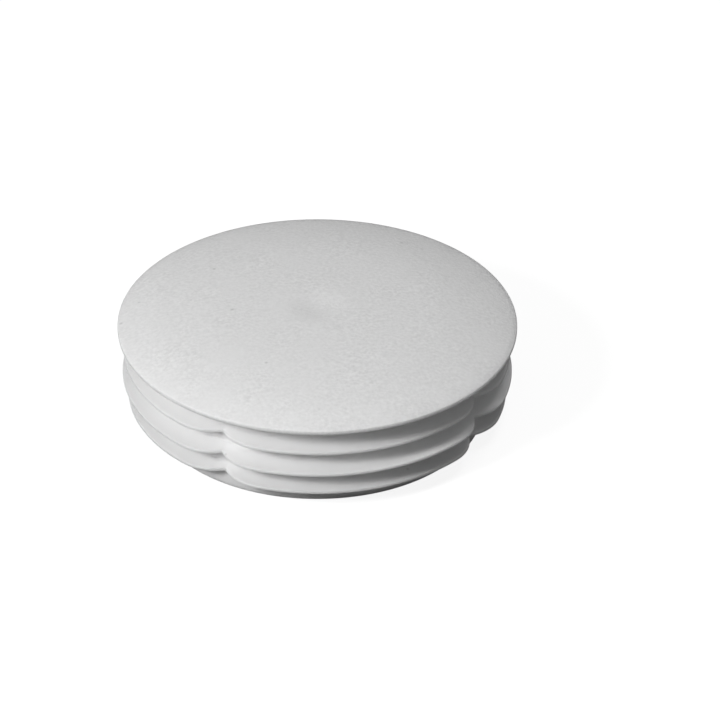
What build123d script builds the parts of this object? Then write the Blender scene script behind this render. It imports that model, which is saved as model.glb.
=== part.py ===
"""Push-in end cap for a round tube: a domed head, a hollow shank and three lobed fins, moulded as one piece.

The cap stands in the frame of the tube's end: the origin is the middle of the head's flat underside, which
the tube's end face bears on, +Z points out of the tube and the shank reaches down into it.
"""

from build123d import *

import os
from math import acos, atan2, cos, degrees, radians, sin, sqrt, tan

# Tube that the cap closes
tube_diameter = 100.0
tube_wall = 3.0

# Head: a flat underside, a thin rim and a dome of two arcs that meet smoothly, with a dimple in its middle
rim_height = 1.3
dome_rise = 4.5
crown_reach = 25.0
crown_radius = 520.0
dimple_radius = 9.0
dimple_depth = 0.6
rim_top_radius = 0.3
rim_bottom_radius = 0.6
head_wall = 3.0

# Shank, hollow from below
shank_length = 24.0
shank_clearance = 4.7
shank_draft = 0.5
shank_wall = 2.5
cup_draft = 1.0
cup_corner_radius = 1.5
open_end_radius = 0.5

# Fins: each stands proud of the tube's bore by its own grip, and leans a little towards the head
first_fin_depth = 6.2
last_fin_from_end = 5.9
head_fin_grip = 1.5
middle_fin_grip = 2.0
lead_fin_grip = 0.7
fin_tip_thickness = 0.8
fin_root_thickness = 3.0
fin_lean = 0.2
fin_root_radius = 0.5
fin_tip_radius = min(0.25, 0.4 * fin_tip_thickness)

# Notches that divide each fin's edge into lobes, but leave a low web round the shank
notch_count = 4
notch_angle = 45.0
notch_depth = 4.0
notch_root_radius = 0.4
lobe_corner_radius = 11.5

head_radius = tube_diameter / 2
bore_radius = head_radius - tube_wall
shank_radius = bore_radius - shank_clearance
end_radius = shank_radius - shank_length * tan(radians(shank_draft))
fin_grips = [head_fin_grip, middle_fin_grip, lead_fin_grip]
fin_pitch = (shank_length - last_fin_from_end - first_fin_depth) / (len(fin_grips) - 1)
fins = [(first_fin_depth + place * fin_pitch, bore_radius + grip) for place, grip in enumerate(fin_grips)]

# The dome's top and centre of curvature, and the cup's mouth and ceiling, which runs level with the crown
crown_height = rim_height + dome_rise
crown_center = crown_height - crown_radius
dimple_span = degrees(dimple_radius / crown_radius)
crown_span = degrees(crown_reach / crown_radius) - dimple_span
mouth_radius = end_radius - shank_wall
ceiling_radius = crown_radius - head_wall
ceiling_reach = mouth_radius - (shank_length + rim_height) * tan(radians(cup_draft))
ceiling_edge = crown_center + sqrt(ceiling_radius**2 - ceiling_reach**2)
ceiling_span = degrees(atan2(ceiling_reach, ceiling_edge - crown_center))


def shank_at(depth):
    """Radius of the drafted shank at a depth below the head."""
    return shank_radius - depth * tan(radians(shank_draft))


def draw_lobes(tip_radius):
    """Outline of a fin's edge: tip arcs with rounded corners that run down into the notches."""
    notch_radius = tip_radius - notch_depth
    corner_reach = tip_radius - lobe_corner_radius
    corner_angle = degrees(
        acos((corner_reach**2 + notch_radius**2 - lobe_corner_radius**2) / (2 * corner_reach * notch_radius))
    )
    along = corner_reach * sin(radians(corner_angle))
    across = notch_radius - corner_reach * cos(radians(corner_angle))
    corner_turn = corner_angle + degrees(atan2(along, across))
    lobe_span = 360 / notch_count - 2 * corner_angle
    for notch in range(notch_count):
        start = notch_angle + notch * 360 / notch_count + corner_angle
        end = start + lobe_span
        first_center = Vector(corner_reach, 0).rotate(Axis.Z, start)
        last_center = Vector(corner_reach, 0).rotate(Axis.Z, end)
        CenterArc(first_center, lobe_corner_radius, start - corner_turn, corner_turn)
        CenterArc((0, 0), tip_radius, start, lobe_span)
        CenterArc(last_center, lobe_corner_radius, end, corner_turn)


def shank_outline(depth, edge):
    """Outline of the shank at a depth, divided at the same turns round the axis as a fin's edge."""
    turns = sorted(degrees(atan2(corner.Y, corner.X)) % 360 for corner in edge.vertices())
    spans = [(following - turn) % 360 for turn, following in zip(turns, turns[1:] + turns[:1])]
    level = Plane.XY.offset(-depth)
    radius = shank_at(depth)
    return Wire([Edge.make_circle(radius, level, turn, turn + span) for turn, span in zip(turns, spans)])


def level_edges(height):
    """Edges of the cap that lie at one height all round."""
    return end_cap.edges().filter_by_position(Axis.Z, height - 0.001, height + 0.001).filter_by(Plane.XY)


with BuildPart() as end_cap:
    # The head and the shank, still solid, are turned round the axis from their half section
    with BuildSketch(Plane.XZ) as section:
        with BuildLine():
            crown = CenterArc((0, crown_center), crown_radius, 90 - dimple_span, -crown_span)
            dimple = Spline((0, crown_height - dimple_depth), crown @ 0, tangents=[(1, 0), crown % 0])
            TangentArc(crown @ 1, (head_radius, rim_height), tangent=crown % 1)
            sides = [(head_radius, rim_height), (head_radius, 0), (shank_radius, 0)]
            Polyline(*sides, (end_radius, -shank_length), (0, -shank_length), dimple @ 0)
        make_face()
        for corner, radius in zip(sides, [rim_top_radius, rim_bottom_radius, fin_root_radius]):
            fillet(section.vertices().sort_by_distance(corner)[0], radius)
    revolve(axis=Axis.Z)

    # Each fin has a thin lobed edge, and thickens above and below it down to the round shank
    for depth, tip_radius in fins:
        with BuildSketch(Plane.XY.offset(-depth - fin_tip_thickness / 2)) as lobes:
            with BuildLine():
                draw_lobes(tip_radius)
            make_face()
            fillet(lobes.vertices().group_by(SortBy.DISTANCE)[0], notch_root_radius)
        land = extrude(amount=fin_tip_thickness, mode=Mode.PRIVATE)
        lower_edge = lobes.sketch.faces()[0].outer_wire()
        upper_edge = lower_edge.moved(Location((0, 0, fin_tip_thickness)))
        upper_root = shank_outline(depth + fin_lean - fin_root_thickness / 2, upper_edge)
        lower_root = shank_outline(depth + fin_lean + fin_root_thickness / 2, lower_edge)
        upper_web = Solid.make_loft([upper_edge, upper_root], ruled=True)
        lower_web = Solid.make_loft([lower_root, lower_edge], ruled=True)
        add([land, upper_web, lower_web])
        fillet(level_edges(upper_root.center().Z) + level_edges(lower_root.center().Z), fin_root_radius)
        fillet(level_edges(upper_edge.center().Z) + level_edges(lower_edge.center().Z), fin_tip_radius)

    # The hollow inside the shank, open below
    with BuildSketch(Plane.XZ) as hollow:
        with BuildLine():
            ceiling = CenterArc((0, crown_center), ceiling_radius, 90 - ceiling_span, ceiling_span)
            Polyline(ceiling @ 0, (mouth_radius, -shank_length), (0, -shank_length), ceiling @ 1)
        make_face()
        fillet(hollow.vertices().sort_by_distance(ceiling @ 0)[0], cup_corner_radius)
    revolve(axis=Axis.Z, mode=Mode.SUBTRACT)
    fillet(level_edges(-shank_length), open_end_radius)

end_cap.part.label = "end_cap"
os.makedirs("parts", exist_ok=True)
export_step(end_cap.part, "parts/end_cap.step")
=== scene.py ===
"""Push-in end cap for a round tube, moulded in natural polyethylene, on a pale studio floor.

Lengths are in metres, in the cap's own frame: the origin is the middle of the head's flat underside, and +Z
points out of the tube, so that the shank's free end stands on the floor.
"""

from math import acos, atan2, cos, pi, radians, sin, sqrt, tan

import bpy
from bpy.props import FloatProperty, FloatVectorProperty, IntProperty, PointerProperty
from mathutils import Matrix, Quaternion, Vector


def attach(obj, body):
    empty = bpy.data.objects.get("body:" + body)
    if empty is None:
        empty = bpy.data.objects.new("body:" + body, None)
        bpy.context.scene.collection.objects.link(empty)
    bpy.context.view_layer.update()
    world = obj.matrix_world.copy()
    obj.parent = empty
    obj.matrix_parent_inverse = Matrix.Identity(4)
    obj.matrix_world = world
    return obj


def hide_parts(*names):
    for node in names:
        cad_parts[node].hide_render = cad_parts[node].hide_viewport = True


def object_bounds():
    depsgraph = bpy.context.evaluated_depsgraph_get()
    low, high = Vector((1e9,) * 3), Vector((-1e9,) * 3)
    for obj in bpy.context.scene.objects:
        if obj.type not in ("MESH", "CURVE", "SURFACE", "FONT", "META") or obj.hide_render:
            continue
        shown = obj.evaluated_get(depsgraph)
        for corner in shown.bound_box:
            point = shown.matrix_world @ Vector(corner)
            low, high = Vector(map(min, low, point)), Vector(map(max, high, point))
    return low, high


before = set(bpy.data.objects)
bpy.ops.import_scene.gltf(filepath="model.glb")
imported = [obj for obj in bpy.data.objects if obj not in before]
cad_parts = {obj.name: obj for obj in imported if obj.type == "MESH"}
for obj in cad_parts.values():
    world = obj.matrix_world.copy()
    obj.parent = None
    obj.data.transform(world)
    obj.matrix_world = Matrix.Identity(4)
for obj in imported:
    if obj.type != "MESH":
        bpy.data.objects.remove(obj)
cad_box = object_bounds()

bl_info = {
    "name": "Tube End Cap",
    "version": (1, 0, 0),
    "blender": (4, 5, 0),
    "location": "3D View > Sidebar > End Cap",
    "description": "Builds a push-in tube end cap with lobed fins, and a plain studio to show it in",
    "category": "Add Mesh",
}

BODY = "root"
CAD_NODE = "end_cap"
CAD_LOW, CAD_HIGH = cad_box

# How finely the moulding's mesh is divided
HALF_LOBE_COLUMNS = 48
NOTCH_CROWDING = 1.5
CORNER_STEPS = 4
RUN_STOPS = (0.1, 0.5, 0.9)
DIMPLE_RINGS = 12
CROWN_RINGS = 16
SHOULDER_RINGS = 20
CEILING_RINGS = 12
THINNED_RADII = (0.020, 0.010, 0.005)
RIM_LEVELS = 2 * (CORNER_STEPS + 1) + len(RUN_STOPS)
FLOOR_SIDES = 128

# How many roundings away from a rounded edge the slope of the dome or of the ceiling is taken
SLOPE_REACH = 2

POLYETHYLENE_IOR = 1.51
GLOSS_SPREAD = 0.1
# How much the painted shade in the grain's pits, and the painted light on its tops, comes and goes with the
# patches of the cloudy colour
PATCH_GAIN = 3.0
SCATTER_TINT = (1.0, 1.0, 1.0)
NOISE_DETAIL = 2.0
NOISE_MIDDLE = 0.5


def length(name, description, default):
    """A length that the user can change, in metres."""
    return FloatProperty(
        name=name, description=description, default=default, unit="LENGTH", precision=5, min=0
    )


def angle(name, description, degrees):
    """An angle that the user can change, given in degrees."""
    return FloatProperty(name=name, description=description, default=radians(degrees), subtype="ANGLE")


def share(name, description, default):
    """A value between nought and one that the user can change."""
    return FloatProperty(name=name, description=description, default=default, min=0, max=1, subtype="FACTOR")


def power(name, description, default):
    """A lamp's power that the user can change."""
    return FloatProperty(name=name, description=description, default=default, unit="POWER")


def colour(name, description, default):
    """A colour that the user can change."""
    return FloatVectorProperty(
        name=name, description=description, default=default, subtype="COLOR", min=0, max=1
    )


class CapSizes(bpy.types.PropertyGroup):
    """Sizes of the moulding."""

    head_radius: length("Head radius", "Radius of the head, which covers the tube's end", CAD_HIGH.x)
    crown_height: length("Crown height", "Height that the dome would reach without its dimple", 0.0058)
    rim_height: length("Rim height", "Height of the head's edge", 0.0013)
    rim_top_round: length("Rim top rounding", "Rounding of the rim's upper edge", 0.0003)
    rim_bottom_round: length("Rim bottom rounding", "Rounding of the rim's lower edge", 0.0006)
    crown_reach: length("Crown reach", "Radius at which the flat crown turns into the shoulder", 0.025)
    crown_radius: length("Crown radius", "Radius of the crown's arc", 0.52)
    head_wall: length("Head wall", "Thickness of the dome", 0.003)
    dimple_radius: length("Dimple radius", "Radius of the dimple in the middle of the dome", 0.009)
    dimple_depth: length("Dimple depth", "Depth of the dimple", 0.0006)

    shank_radius: length("Shank radius", "Outside radius of the shank under the head", 0.0423)
    shank_length: length("Shank length", "How far the shank reaches into the tube", -CAD_LOW.z)
    shank_draft: angle("Shank draft", "Taper of the shank towards its free end", 0.5)
    shank_wall: length("Shank wall", "Wall of the shank at its free end", 0.0025)
    cup_draft: angle("Cup draft", "Taper of the hollow inside", 1.0)
    cup_corner_round: length("Cup corner rounding", "Rounding between the hollow's wall and ceiling", 0.0015)
    open_end_round: length("Open end rounding", "Rounding of the shank's free end", 0.0005)

    fin_depths: FloatVectorProperty(
        name="Fin depths",
        description="Depth of each fin's tip below the head",
        default=(0.0062, 0.01215, 0.0181),
    )
    fin_reaches: FloatVectorProperty(
        name="Fin radii",
        description="Radius of each fin's tip",
        default=(0.0485, 0.049, 0.0477),
    )
    fin_tip_thickness: length("Fin tip thickness", "Thickness of a fin at its tip", 0.0008)
    fin_root_thickness: length("Fin root thickness", "Thickness of a fin where it meets the shank", 0.003)
    fin_lean: length("Fin lean", "How far a fin's tip stands nearer to the head than its root", 0.0002)
    fin_root_round: length("Fin root rounding", "Rounding where a fin meets the shank", 0.0005)
    fin_tip_round: length("Fin tip rounding", "Rounding of a fin's edges", 0.00025)

    notch_count: IntProperty(name="Notches", description="Number of notches in each fin", default=4, min=2)
    notch_angle: angle("Notch angle", "Angle of the first notch from the X axis", 45)
    notch_depth: length("Notch depth", "Depth of a sharp notch between two lobes, from the fin's tip", 0.004)
    notch_root_round: length("Notch root rounding", "Rounding between two lobes", 0.0004)
    lobe_corner_round: length("Lobe corner rounding", "Rounding of each lobe's shoulders", 0.0115)


class CapFinish(bpy.types.PropertyGroup):
    """Colour and surface of the polyethylene."""

    # Painted light: the head and the shank are the same plastic, but the shank and fins get a paler colour so
    # that the fins and grooves under the head's overhang look brighter.
    head_colour: colour("Head colour", "Colour under the grained finish of the head", (0.77, 0.77, 0.77))
    shank_colour_with_painted_light: colour("Shank colour", "Colour under the smooth finish of the shank", (0.90, 0.90, 0.90))
    mottle: share("Mottle", "How far the colour wanders where the melt was uneven", 0.03)
    mottle_size: length("Mottle size", "Size of the cloudy patches in the colour", 0.009)
    head_roughness: share("Head roughness", "Roughness of the spark-eroded finish on the head", 0.62)
    shank_roughness: share("Shank roughness", "Roughness of the smooth finish on the shank and fins", 0.55)
    grain_size: length("Grain size", "Size of the pits of the finish on the head", 0.0009)
    grain_depth: length("Grain depth", "Depth of those pits", 0.0001)
    # Painted shade: the colour is darkened in the grain's pits and paled on its tops, as shade and light
    # would fall on them.
    painted_pit_shade: share("Pitting", "How much darker the pits look than the plastic round them", 0.26)
    flow_depth: length("Flow depth", "Depth of the faint waves on the smooth surfaces", 0.00002)
    flow_size: length("Flow size", "Width of those waves", 0.004)
    speck_spacing: length("Speck spacing", "Typical distance between dark specks in the plastic", 0.009)
    speck_size: length("Speck size", "Radius of a speck", 0.0007)
    speck_shade: share("Speck shade", "How much darker a speck is than the plastic", 0.25)
    scatter: share("Scatter", "Share of the light that goes a little way into the plastic", 0.9)
    scatter_reach: length("Scatter reach", "How far that light goes", 0.0035)


class StageSettings(bpy.types.PropertyGroup):
    """Floor, light and camera."""

    floor_radius: length("Floor radius", "Radius of the round floor", 1.0)
    floor_bounce: share("Floor bounce", "Share of the light that the floor throws back onto the cap", 0.15)
    floor_shade: share("Floor shade", "How strongly the cap's shadow shows on the floor", 0.25)
    floor_lift: share("Floor lift", "Brightness of the floor where the cap's shadow is deepest", 0.88)
    world_strength: share("World light", "Strength of the even light from all round", 0.175)
    key_turn: angle("Key turn", "Angle of the key lamp to the left of the camera", 47)
    key_height: angle("Key height", "Height of the key lamp above the horizon", 34)
    key_distance: length("Key distance", "Distance of the key lamp from the cap", 0.8)
    key_size: length("Key size", "Width of the key lamp", 0.2)
    key_power: power("Key power", "Power of the key lamp", 4.8)
    top_turn: angle("Top turn", "Angle of the top lamp to the left of the camera", -70)
    top_height: angle("Top height", "Height of the top lamp above the horizon", 75)
    top_distance: length("Top distance", "Distance of the top lamp from the cap", 0.8)
    top_size: length("Top size", "Width of the top lamp", 0.25)
    top_power: power("Top power", "Power of the top lamp", 1.54)
    view_turn: angle("View turn", "Angle of the camera round the cap's axis", -14)
    view_height: angle("View height", "Height of the camera above the horizon", 32.14)
    view_distance: length("View distance", "Distance of the camera from the origin", 1.0)
    view_roll: angle("View roll", "Roll of the camera", 0.39)
    aim_right: length("Aim right", "How far right of the origin the camera aims", 0.01067)
    aim_down: length("Aim down", "How far below the origin the camera aims", 0.00869)
    lens: FloatProperty(name="Lens", description="Focal length in millimetres", default=199.64)


# Shape of the moulding


def shank_at(sizes, depth):
    """Radius of the drafted shank at a depth below the head."""
    return sizes.shank_radius - depth * tan(sizes.shank_draft)


def fin_edge(sizes, tip_radius, from_notch):
    """Radius of a fin's edge at an angle from the nearest notch."""
    lobe_round = sizes.lobe_corner_round
    root_round = sizes.notch_root_round
    reach = tip_radius - lobe_round
    notch_radius = tip_radius - sizes.notch_depth
    turn = acos((reach**2 + notch_radius**2 - lobe_round**2) / (2 * reach * notch_radius))
    along, across = reach * cos(turn), reach * sin(turn)
    root_center = along + sqrt((lobe_round + root_round) ** 2 - across**2)
    touch = lobe_round / (lobe_round + root_round)
    root_end = atan2(across * (1 - touch), along * (1 - touch) + root_center * touch)
    if from_notch < root_end:
        return root_center * cos(from_notch) - sqrt(root_round**2 - (root_center * sin(from_notch)) ** 2)
    if from_notch < turn:
        short = turn - from_notch
        return reach * cos(short) + sqrt(lobe_round**2 - (reach * sin(short)) ** 2)
    return tip_radius


def fin_corners(sizes, depth, tip_radius, from_notch):
    """Corners of a fin's section with their roundings: upper root, upper tip, lower tip, lower root."""
    upper_root_depth = depth + sizes.fin_lean - sizes.fin_root_thickness / 2
    lower_root_depth = upper_root_depth + sizes.fin_root_thickness
    edge = fin_edge(sizes, tip_radius, from_notch)
    return [
        (Vector((shank_at(sizes, upper_root_depth), -upper_root_depth)), sizes.fin_root_round),
        (Vector((edge, -depth + sizes.fin_tip_thickness / 2)), sizes.fin_tip_round),
        (Vector((edge, -depth - sizes.fin_tip_thickness / 2)), sizes.fin_tip_round),
        (Vector((shank_at(sizes, lower_root_depth), -lower_root_depth)), sizes.fin_root_round),
    ]


def rounded(before, corner, after, radius):
    """Points of the arc that rounds a corner of the section."""
    back, on = (before - corner).normalized(), (after - corner).normalized()
    half_angle = back.angle(on) / 2
    center = corner + (back + on).normalized() * radius / sin(half_angle)
    start = corner + back * radius / tan(half_angle) - center
    end = corner + on * radius / tan(half_angle) - center
    sweep = start.angle(end)
    steps = [sweep * step / CORNER_STEPS for step in range(CORNER_STEPS + 1)]
    return [center + (start * sin(sweep - turn) + end * sin(turn)) / sin(sweep) for turn in steps]


class Dome:
    """The head's top, a crown arc and a shoulder arc that meet smoothly, and the cup's ceiling under it."""

    def __init__(self, sizes):
        self.sizes = sizes
        self.crown_center = sizes.crown_height - sizes.crown_radius
        crown_edge = Vector((sizes.crown_reach, self.crown_top(sizes.crown_reach)))
        outward = Vector((crown_edge.x, crown_edge.y - self.crown_center)).normalized()
        span = Vector((sizes.head_radius, sizes.rim_height)) - crown_edge
        self.shoulder_radius = -span.length_squared / (2 * span.dot(outward))
        self.shoulder_center = crown_edge - outward * self.shoulder_radius

    def crown_top(self, reach, depth=0.0):
        """Height of the crown's arc, or of one at a depth under it."""
        return self.crown_center + sqrt((self.sizes.crown_radius - depth) ** 2 - reach**2)

    def top(self, reach):
        """Height of the dome at a radius, with the dimple in its middle."""
        sizes = self.sizes
        if reach > sizes.crown_reach:
            across = reach - self.shoulder_center.x
            return self.shoulder_center.y + sqrt(self.shoulder_radius**2 - across**2)
        dip = sizes.dimple_depth * (1 + cos(pi * min(1, reach / sizes.dimple_radius))) / 2
        return self.crown_top(reach) - dip


def section(sizes, dome, from_notch):
    """Half section at an angle from the nearest notch, from the shoulder round to the cup's ceiling."""
    end_radius = shank_at(sizes, sizes.shank_length)
    mouth_radius = end_radius - sizes.shank_wall
    ceiling_reach = mouth_radius - (sizes.shank_length + sizes.rim_height) * tan(sizes.cup_draft)
    corners = [
        (Vector((sizes.head_radius, sizes.rim_height)), sizes.rim_top_round),
        (Vector((sizes.head_radius, 0)), sizes.rim_bottom_round),
        (Vector((sizes.shank_radius, 0)), sizes.fin_root_round),
    ]
    for depth, tip_radius in zip(sizes.fin_depths, sizes.fin_reaches):
        corners += fin_corners(sizes, depth, tip_radius, from_notch)
    corners += [
        (Vector((end_radius, -sizes.shank_length)), sizes.open_end_round),
        (Vector((mouth_radius, -sizes.shank_length)), sizes.open_end_round),
        (Vector((ceiling_reach, dome.crown_top(ceiling_reach, sizes.head_wall))), sizes.cup_corner_round),
    ]
    places = [place for place, _ in corners]
    shoulder_start = sizes.head_radius - SLOPE_REACH * sizes.rim_top_round
    first = Vector((shoulder_start, dome.top(shoulder_start)))
    ceiling_next = ceiling_reach - SLOPE_REACH * sizes.cup_corner_round
    last = Vector((ceiling_next, dome.crown_top(ceiling_next, sizes.head_wall)))
    arcs = [
        rounded(before, corner, after, radius)
        for before, (corner, radius), after in zip([first] + places, corners, places[1:] + [last])
    ]
    points = list(arcs[0])
    for arc in arcs[1:]:
        start = points[-1]
        points += [start.lerp(arc[0], stop) for stop in RUN_STOPS]
        points += arc
    return points


def column_angles(sizes):
    """Each column's angle and its angle from the nearest notch. The columns crowd together at the notches."""
    half = pi / sizes.notch_count
    steps = range(HALF_LOBE_COLUMNS)
    offsets = [half * (step / HALF_LOBE_COLUMNS) ** NOTCH_CROWDING for step in steps]
    lobe = [(offset, offset) for offset in offsets] + [(half, half)]
    lobe += [(2 * half - offset, offset) for offset in reversed(offsets[1:])]
    return [
        (sizes.notch_angle + 2 * half * notch + turn, from_notch)
        for notch in range(sizes.notch_count)
        for turn, from_notch in lobe
    ]


def evenly(start, end, count):
    """Values from the start up to the end, without the end."""
    return [start + (end - start) * step / count for step in range(count)]


class Lathe:
    """Collects rings of points round the axis, and the faces between them."""

    def __init__(self, angles):
        self.angles = angles
        self.points = []
        self.faces = []
        self.ring = []

    def add_ring(self, places, stride=1):
        """Adds a ring from each column's radius and height, and joins it to the last ring."""
        start = len(self.points)
        for (turn, _), (reach, height) in list(zip(self.angles, places))[::stride]:
            self.points.append((reach * cos(turn), reach * sin(turn), height))
        self.join(range(start, len(self.points)))

    def add_pole(self, height):
        """Adds a point on the axis, where the surface closes."""
        self.points.append((0, 0, height))
        self.join(range(len(self.points) - 1, len(self.points)))

    def join(self, ring):
        """Joins the last ring to a new one, which may have fewer points, twice as many or only the pole."""
        counts = [len(self.ring), len(ring)]
        sides = max(counts) if min(counts) == 1 else min(counts)
        for side in range(sides if self.ring else 0):
            last = [self.ring[index % counts[0]] for index in corner_span(side, counts[0] // sides)]
            new = [ring[index % counts[1]] for index in corner_span(side, counts[1] // sides)]
            self.faces.append(last[::-1] + new)
        self.ring = ring


def corner_span(side, step):
    """Places along a ring of the points that one face takes from it."""
    return range(side * step, (side + 1) * step + 1)


def thinning(reach):
    """How many columns a ring skips at a radius, so that the middle isn't crowded."""
    return 2 ** sum(reach < limit for limit in THINNED_RADII)


def moulding_mesh(sizes):
    """Closed mesh of the whole cap, turned round its axis, and how many of its first faces are the head's."""
    dome = Dome(sizes)
    angles = column_angles(sizes)
    sections = {from_notch: section(sizes, dome, from_notch) for _, from_notch in angles}
    columns = [sections[from_notch] for _, from_notch in angles]
    reaches = evenly(0, sizes.dimple_radius, DIMPLE_RINGS)[1:]
    reaches += evenly(sizes.dimple_radius, sizes.crown_reach, CROWN_RINGS)
    reaches += evenly(sizes.crown_reach, columns[0][0].x, SHOULDER_RINGS)
    lathe = Lathe(angles)
    lathe.add_pole(dome.top(0))
    for reach in reaches:
        lathe.add_ring([(reach, dome.top(reach))] * len(angles), thinning(reach))
    for level, places in enumerate(zip(*columns)):
        lathe.add_ring(places)
        if level == RIM_LEVELS - 1:
            head_faces = len(lathe.faces)
    for reach in reversed(evenly(0, columns[0][-1].x, CEILING_RINGS)[1:]):
        lathe.add_ring([(reach, dome.crown_top(reach, sizes.head_wall))] * len(angles), thinning(reach))
    lathe.add_pole(dome.crown_top(0, sizes.head_wall))
    mesh = bpy.data.meshes.new("end_cap_moulding")
    mesh.from_pydata(lathe.points, [], lathe.faces)
    mesh.shade_smooth()
    return mesh, head_faces


# Materials


class Value:
    """A node's socket in an expression: each operator adds the Math node that works it out."""

    def __init__(self, shader, socket):
        self.shader = shader
        self.socket = socket

    def maths(self, operation, first, second):
        return self.shader.node("ShaderNodeMath", {"operation": operation}, {0: first, 1: second})

    def __add__(self, other):
        return self.maths("ADD", self, other)

    def __sub__(self, other):
        return self.maths("SUBTRACT", self, other)

    def __rsub__(self, other):
        return self.maths("SUBTRACT", other, self)

    def __mul__(self, other):
        return self.maths("MULTIPLY", self, other)

    __radd__ = __add__
    __rmul__ = __mul__


class Shader:
    """The node tree of a material or of the world, emptied and ready for new nodes."""

    def __init__(self, owner):
        owner.use_nodes = True
        self.nodes = owner.node_tree.nodes
        self.links = owner.node_tree.links
        self.nodes.clear()

    def node(self, kind, settings=None, inputs=None, output=0):
        """Adds a node with its settings and the values or links of its inputs. Returns one of its outputs."""
        made = self.nodes.new(kind)
        for name, setting in (settings or {}).items():
            setattr(made, name, setting)
        for name, given in (inputs or {}).items():
            if isinstance(given, Value):
                self.links.new(given.socket, made.inputs[name])
            else:
                made.inputs[name].default_value = given
        return Value(self, made.outputs[output]) if made.outputs else None

    def noise(self, place, size):
        """Cloudy noise between nought and one, with features of a size in metres."""
        inputs = {"Vector": place, "Scale": 1 / size, "Detail": NOISE_DETAIL}
        return self.node("ShaderNodeTexNoise", inputs=inputs)


def grey(level):
    """A neutral colour of a level."""
    return (level, level, level, 1)


def polyethylene(finish, name, base, roughness, relief_size, relief_depth, painted_pit_shade):
    """Natural polyethylene with a relief of its own, cloudy colour, a few specks, uneven gloss, and painted
    shade in the relief's pits with painted light on its tops.
    """
    material = bpy.data.materials.new(name)
    shader = Shader(material)
    place = shader.node("ShaderNodeTexCoord", output="Object")
    cloud = shader.noise(place, finish.mottle_size)
    relief = shader.noise(place, relief_size)
    from_speck = shader.node(
        "ShaderNodeTexVoronoi", inputs={"Vector": place, "Scale": 1 / finish.speck_spacing}, output="Distance"
    )
    speck = shader.node(
        "ShaderNodeMapRange",
        {"interpolation_type": "SMOOTHSTEP"},
        {"Value": from_speck, "From Min": finish.speck_size / finish.speck_spacing, "From Max": 0.0},
    )
    # Painted shade and light: the colour darkens in the relief's pits and pales on its tops, more so in some
    # patches.
    patch = 1 + PATCH_GAIN * (cloud - NOISE_MIDDLE)
    painted_grain_shade = painted_pit_shade * patch * (relief - NOISE_MIDDLE)
    paleness = 1 - finish.mottle * cloud - finish.speck_shade * speck + painted_grain_shade
    tint = shader.node("ShaderNodeVectorMath", {"operation": "SCALE"}, {0: base, "Scale": paleness})
    bump = shader.node("ShaderNodeBump", inputs={"Distance": relief_depth, "Height": relief})
    surface = shader.node(
        "ShaderNodeBsdfPrincipled",
        inputs={
            "Base Color": tint,
            "Roughness": roughness + GLOSS_SPREAD * (relief - NOISE_MIDDLE),
            "IOR": POLYETHYLENE_IOR,
            "Subsurface Weight": finish.scatter,
            "Subsurface Radius": SCATTER_TINT,
            "Subsurface Scale": finish.scatter_reach,
            "Normal": bump,
        },
    )
    shader.node("ShaderNodeOutputMaterial", inputs={"Surface": surface})
    return material


def floor_material(stage):
    """Pale floor that looks white where it is lit, shows the cap's shadow and throws little light back."""
    material = bpy.data.materials.new("studio_floor")
    shader = Shader(material)
    seen = shader.node("ShaderNodeLightPath", output="Is Camera Ray")
    bounce = shader.node("ShaderNodeBsdfDiffuse", inputs={"Color": grey(stage.floor_bounce)})
    shade = shader.node("ShaderNodeBsdfDiffuse", inputs={"Color": grey(stage.floor_shade)})
    lift = shader.node("ShaderNodeEmission", inputs={"Color": grey(1), "Strength": stage.floor_lift})
    pale = shader.node("ShaderNodeAddShader", inputs={0: shade, 1: lift})
    surface = shader.node("ShaderNodeMixShader", inputs={0: seen, 1: bounce, 2: pale})
    shader.node("ShaderNodeOutputMaterial", inputs={"Surface": surface})
    return material


def light_world(stage):
    """Even light from all round, and plain white where the camera looks past the floor."""
    world = bpy.data.worlds.new("studio_world")
    shader = Shader(world)
    seen = shader.node("ShaderNodeLightPath", output="Is Camera Ray")
    fill = shader.node("ShaderNodeBackground", inputs={"Color": grey(1), "Strength": stage.world_strength})
    white = shader.node("ShaderNodeBackground", inputs={"Color": grey(1), "Strength": 1})
    surface = shader.node("ShaderNodeMixShader", inputs={0: seen, 1: fill, 2: white})
    shader.node("ShaderNodeOutputWorld", inputs={"Surface": surface})
    bpy.context.scene.world = world


# Stage


def direction(turn, height):
    """Unit vector at an angle round the cap, from -Y towards +X, and at an angle above the horizon."""
    return Vector((sin(turn) * cos(height), -cos(turn) * cos(height), sin(height)))


def add_object(name, data):
    """Adds an object that holds some data to the scene."""
    thing = bpy.data.objects.new(name, data)
    bpy.context.scene.collection.objects.link(thing)
    return thing


def add_floor(stage):
    """Adds the round floor that the cap's free end stands on."""
    corners = [stage.floor_radius * direction(2 * pi * side / FLOOR_SIDES, 0) for side in range(FLOOR_SIDES)]
    mesh = bpy.data.meshes.new("studio_floor")
    mesh.from_pydata([(corner.x, corner.y, CAD_LOW.z) for corner in corners], [], [range(FLOOR_SIDES)])
    mesh.materials.append(floor_material(stage))
    return add_object("studio_floor", mesh)


def add_lamp(name, stage, place, size, energy):
    """Adds a round soft lamp that shines on the cap from a place: its turn, height and distance."""
    turn, height, distance = place
    lamp = bpy.data.lights.new(name, "AREA")
    lamp.shape = "DISK"
    lamp.size = size
    lamp.energy = energy
    toward = direction(stage.view_turn - turn, height)
    made = add_object(name, lamp)
    made.location = toward * distance
    made.rotation_euler = toward.to_track_quat("Z", "Y").to_euler()


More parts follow.
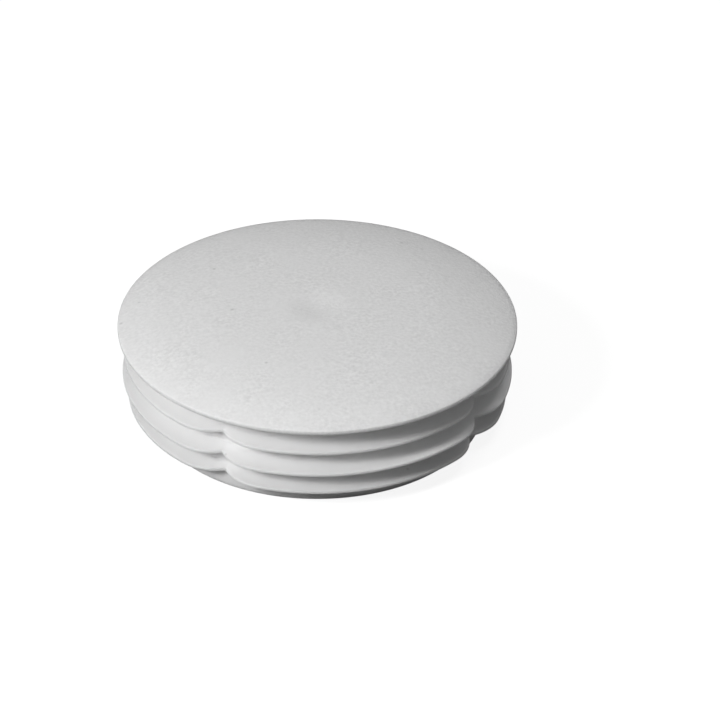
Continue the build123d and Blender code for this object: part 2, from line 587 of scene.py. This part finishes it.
def add_camera(stage):
    """Adds the camera and makes it the scene's own."""
    camera = add_object("camera", bpy.data.cameras.new("camera"))
    camera.data.lens = stage.lens
    toward = direction(stage.view_turn, stage.view_height)
    rightward = direction(stage.view_turn + pi / 2, 0)
    upward = toward.cross(rightward)
    aim = rightward * stage.aim_right - upward * stage.aim_down
    camera.location = toward * stage.view_distance
    facing = (camera.location - aim).to_track_quat("Z", "Y")
    camera.rotation_euler = (facing @ Quaternion((0, 0, 1), stage.view_roll)).to_euler()
    bpy.context.scene.camera = camera


# Operators, panel and start


class ENDCAP_OT_add_moulding(bpy.types.Operator):
    """Add the cap as one moulding, with its grained head, its smooth shank and its three lobed fins"""

    bl_idname = "endcap.add_moulding"
    bl_label = "Add Moulding"

    def execute(self, context):
        sizes, finish = context.scene.endcap_sizes, context.scene.endcap_finish
        mesh, head_faces = moulding_mesh(sizes)
        kinds = {
            "grained_head": (
                finish.head_colour,
                finish.head_roughness,
                finish.grain_size,
                finish.grain_depth,
                # painted shade in the grain's pits
                finish.painted_pit_shade,
            ),
            "smooth_shank": (
                # paler than the head's colour: painted light on the fins and grooves
                finish.shank_colour_with_painted_light,
                finish.shank_roughness,
                finish.flow_size,
                finish.flow_depth,
                0.0,
            ),
        }
        for name, surface in kinds.items():
            mesh.materials.append(polyethylene(finish, name, *surface))
        for face in mesh.polygons[head_faces:]:
            face.material_index = 1
        cap = add_object("end_cap_moulding", mesh)
        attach(cap, BODY)
        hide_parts(CAD_NODE)
        return {"FINISHED"}


class ENDCAP_OT_add_stage(bpy.types.Operator):
    """Add the pale floor, the key and top lamps, the even light and the camera"""

    bl_idname = "endcap.add_stage"
    bl_label = "Add Stage"

    def execute(self, context):
        stage = context.scene.endcap_stage
        add_floor(stage)
        key_place = (stage.key_turn, stage.key_height, stage.key_distance)
        top_place = (stage.top_turn, stage.top_height, stage.top_distance)
        add_lamp("key_lamp", stage, key_place, stage.key_size, stage.key_power)
        add_lamp("top_lamp", stage, top_place, stage.top_size, stage.top_power)
        light_world(stage)
        add_camera(stage)
        context.scene.view_settings.view_transform = "Standard"
        return {"FINISHED"}


class ENDCAP_PT_panel(bpy.types.Panel):
    """Sizes, finish and stage of the end cap"""

    bl_label = "Tube End Cap"
    bl_space_type = "VIEW_3D"
    bl_region_type = "UI"
    bl_category = "End Cap"

    def draw(self, context):
        groups = {
            "endcap.add_moulding": (context.scene.endcap_sizes, context.scene.endcap_finish),
            "endcap.add_stage": (context.scene.endcap_stage,),
        }
        for operator, shown in groups.items():
            box = self.layout.box()
            for group in shown:
                for name in group.bl_rna.properties.keys():
                    if name not in ("rna_type", "name"):
                        box.prop(group, name)
            box.operator(operator)


CLASSES = (
    CapSizes,
    CapFinish,
    StageSettings,
    ENDCAP_OT_add_moulding,
    ENDCAP_OT_add_stage,
    ENDCAP_PT_panel,
)


def register():
    for made in CLASSES:
        bpy.utils.register_class(made)
    bpy.types.Scene.endcap_sizes = PointerProperty(type=CapSizes)
    bpy.types.Scene.endcap_finish = PointerProperty(type=CapFinish)
    bpy.types.Scene.endcap_stage = PointerProperty(type=StageSettings)


def unregister():
    del bpy.types.Scene.endcap_stage
    del bpy.types.Scene.endcap_finish
    del bpy.types.Scene.endcap_sizes
    for made in reversed(CLASSES):
        bpy.utils.unregister_class(made)


def main():
    register()
    bpy.ops.endcap.add_moulding()
    bpy.ops.endcap.add_stage()


if __name__ == "__main__":
    main()
